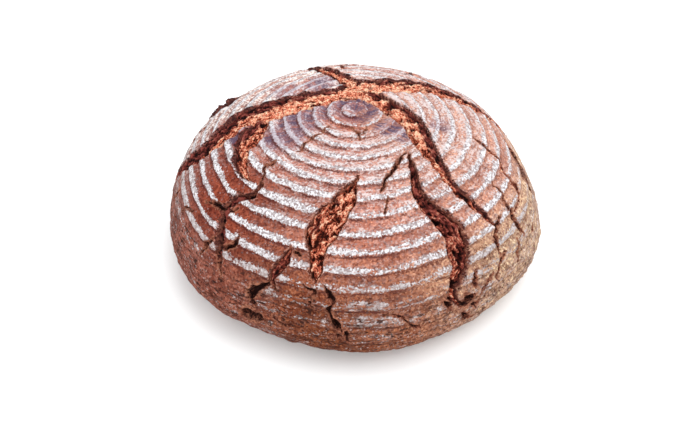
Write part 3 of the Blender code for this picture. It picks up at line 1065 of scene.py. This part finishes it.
    # Painted shade in small pocks on the belly, where the bump sinks too.
    pock_shade = n.step(n.drawn("girth", (0.2, 0.2, 0.55)), 0.62, 0.67)
    pock_shade = n.times(pock_shade, n.step(belly, 0.1, 0.5), n.less(1.0, right, 0.7))
    skin = n.mix(pock_shade, skin, POCK_SHADE)

    # Torn edges: crumbs beside a crack, a thin pale rim and a burnt lip.
    frayed = n.plus(edge, n.plus(n.sway(small, 1.6), n.sway(fine, 1.6)))
    crumbly = n.times(crack, n.step(n.minus(frayed, rubble), 1.1, 0.4), 0.85)
    skin = n.mix(crumbly, skin, n.mix(first, *CRUMBLY))
    rim = n.times(n.step(frayed, 1.0, 0.5), n.step(second, 0.4, 0.8), 0.6, n.minus(1.0, crack))
    skin = n.mix(rim, skin, RIM)
    skin = n.group(groups["scorch"], Colour=skin, Amount=scorch, Speck=first)[0]

    # The crust's wall inside a tear, painted darker towards its foot as shade, and the inside of a
    # crack, painted dark as shade with paler loose crumbs.
    torn = n.mix(n.step(n.plus(small, n.times(first, 0.2)), 0.45, 0.75), *WALL)
    torn = n.mix(n.step(frayed, -0.4, -1.2), torn, WALL_FOOT_SHADE)
    torn = n.mix(n.times(scorch, 0.95, clamp=True), torn, WALL_BURNT)
    deep = n.less(frayed, n.step(rubble, 0.1, 0.8), 0.45)
    loose = n.times(n.step(first, 0.35, 0.85), n.step(frayed, -1.1, -0.3))
    torn = n.mix(n.times(crack, n.step(deep, 0.1, -0.4)), torn, n.mix(loose, *CRACK_SHADE_AND_CRUMBS))
    skin = n.mix(n.step(frayed, 0.3, -0.1), skin, torn)

    height = n.plus(n.times(flour, 0.4), n.times(second, 0.6))
    height = n.minus(height, n.plus(n.times(pock_shade, 1.5), lines))
    height = n.plus(height, n.plus(small, n.times(fine, 0.6)))
    n.finish(shader, skin, 0.85, 0.12, height, 0.9 * MM)
    return material


def crumb_material(tints, groups):
    material, n, shader = new_finish("torn_crumb")
    where = n.place()
    first, second, third, fine = n.group(groups["specks"], Vector=where, Size=CRUMB_GRAIN)
    strands = n.drawn("grain", (1.5, 0.5, 1.0), 4.0)
    ropes = n.drawn("grain", (0.45, 0.16, 1.0))
    high, fresh, char = map(n.attribute, ("high", "fresh", "char"))

    # Painted light and shade: raised crumb is painted pale as if lit, and the holes dark as shade.
    # Fresh crumb is paler too.
    tone = n.plus(high, n.sway(fine, 1.3), n.sway(strands, 1.8), n.sway(ropes, 0.8),
                  n.sway(first, 0.4), n.sway(fresh, 0.35), 0.1)
    ramp = n.add("ShaderNodeValToRGB", Fac=n.less(tone, char, 0.3))
    marks = ramp.color_ramp.elements
    marks[0].position, marks[0].color = 0.0, (*tints.hole, 1.0)
    marks[1].position, marks[1].color = 0.92, (*tints.pale, 1.0)
    for place, mark in ((0.2, tints.dark), (0.42, tints.brown), (0.68, tints.orange)):
        marks.new(place).color = (*mark, 1.0)
    bread = n.shade(n.times(n.step(second, 0.68, 0.95), 0.6), ramp.outputs["Color"], CRUMB_FLECK)
    bread = n.shade(n.times(n.minus(1.0, fresh), 0.35), bread, STALE)

    # Burnt strands, ropes and patches.
    patches = n.step(n.noise(where, 7.0), 0.52, 0.68)
    speck = n.plus(n.times(n.step(ropes, 0.38, 0.62), 0.55),
                   n.times(n.step(strands, 0.36, 0.64), 0.25),
                   n.times(third, 0.2), n.times(n.minus(high, 0.4), 0.7))
    bread = n.group(groups["scorch"], Colour=bread, Amount=n.plus(char, n.times(patches, 0.5)),
                    Speck=speck)[0]
    height = n.plus(strands, n.plus(fine, n.times(second, 0.5)))
    n.finish(shader, bread, 0.9, 0.05, height, 1.1 * MM)
    return material


# --- Stage ---


def add_light(name, place, size, power):
    bpy.ops.object.light_add(type="AREA", location=place)
    lamp = bpy.context.object
    lamp.name = name
    lamp.data.size = size
    lamp.data.energy = power
    lamp.rotation_euler = (Vector(LAMPS_AIM) - Vector(place)).to_track_quat("-Z", "Y").to_euler()


class LOAF_OT_stage(bpy.types.Operator):
    """Adds the floor, the lights and the camera"""

    bl_idname = "rye_loaf.stage"
    bl_label = "Stage"

    def execute(self, context):
        settings = context.scene.loaf_stage
        deselect_all()
        bpy.ops.mesh.primitive_plane_add(size=FLOOR_SIDE)
        floor = bpy.context.object
        floor.name = "floor"
        material, n, shader = new_finish("pale_floor")
        n.feed(shader, "Base Color", settings.floor)
        n.feed(shader, "Roughness", 0.9)
        floor.data.materials.append(material)

        world = bpy.data.worlds.new("studio")
        context.scene.world = world
        world.use_nodes = True
        light = world.node_tree.nodes["Background"]
        light.inputs["Color"].default_value = (1, 1, 1, 1)
        light.inputs["Strength"].default_value = settings.daylight
        add_light("key", *KEY_LAMP, settings.key)
        add_light("fill", *FILL_LAMP, settings.fill)
        context.scene.view_settings.view_transform = "Standard"

        bpy.ops.object.camera_add(location=CAMERA_PLACE)
        camera = bpy.context.object
        camera.rotation_euler = (math.radians(90 - CAMERA_DOWN), 0, math.radians(CAMERA_TURN))
        camera.data.lens = CAMERA_LENS
        camera.data.sensor_width = CAMERA_FILM
        camera.data.clip_start = 10 * MM
        context.scene.camera = camera
        return {"FINISHED"}


# --- The add-on ---

SETTINGS = {"loaf_form": LoafForm, "loaf_ridges": BasketRidges, "loaf_crust": CrustColours,
            "loaf_crumb": CrumbColours, "loaf_stage": StudioStage}
OPERATORS = (LOAF_OT_crust, LOAF_OT_crumb, LOAF_OT_stage)


class LOAF_PT_panel(bpy.types.Panel):
    """The loaf's pieces, sizes and colours"""

    bl_label = "Rye Loaf"
    bl_space_type = "VIEW_3D"
    bl_region_type = "UI"
    bl_category = "Rye Loaf"

    def draw(self, context):
        for operator in OPERATORS:
            self.layout.operator(operator.bl_idname)
        for name, group in SETTINGS.items():
            box = self.layout.box()
            for setting in group.__annotations__:
                box.prop(getattr(context.scene, name), setting)


def register():
    for cls in (*SETTINGS.values(), *OPERATORS, LOAF_PT_panel):
        bpy.utils.register_class(cls)
    for name, group in SETTINGS.items():
        setattr(bpy.types.Scene, name, PointerProperty(type=group))


def unregister():
    for name in SETTINGS:
        delattr(bpy.types.Scene, name)
    for cls in (LOAF_PT_panel, *OPERATORS, *SETTINGS.values()):
        bpy.utils.unregister_class(cls)


def main():
    register()
    bpy.ops.rye_loaf.crust()
    bpy.ops.rye_loaf.crumb()
    bpy.ops.rye_loaf.stage()


if __name__ == "__main__":
    main()
